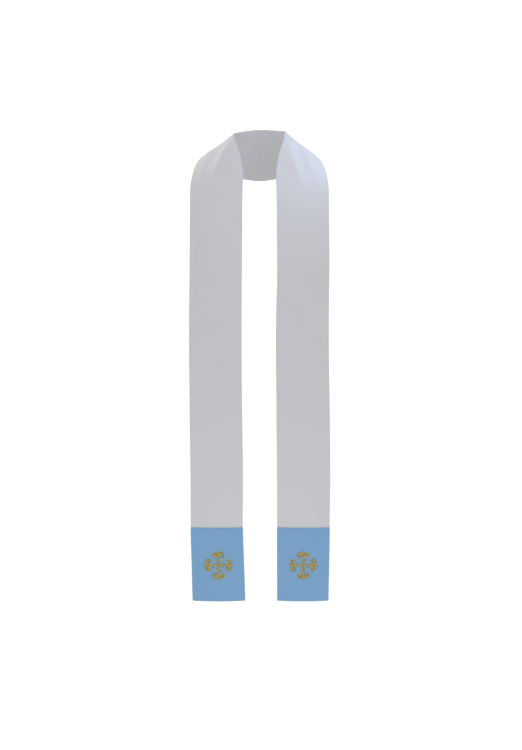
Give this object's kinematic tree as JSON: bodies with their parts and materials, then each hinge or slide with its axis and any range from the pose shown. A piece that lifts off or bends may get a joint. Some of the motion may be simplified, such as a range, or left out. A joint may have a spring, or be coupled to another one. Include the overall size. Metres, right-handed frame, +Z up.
{
  "type": "priest's stole",
  "caption": "Priest's stole as worn: white bands joined at the nape hang over the shoulders to light blue end panels with gold crosses.",
  "frame": {"origin": "on the axis of the wearer's neck, about level with the bands' neck edges at the sides of the neck", "axes": "+Z up, the wearer faces -Y, the wearer's left is +X"},
  "size_m": [0.3424, 0.2451, 1.165],
  "materials": {
    "white_fabric": "fine plain weave, matt",
    "blue_fabric": "fine plain weave, matt",
    "gold_thread": "satin stitch, slight sheen"
  },
  "bodies": {
    "root": {"band_right": "white_fabric", "end_panel_right": "blue_fabric", "cross_right": "gold_thread", "band_left": "white_fabric", "end_panel_left": "blue_fabric", "cross_left": "gold_thread"}
  },
  "joints": []
}
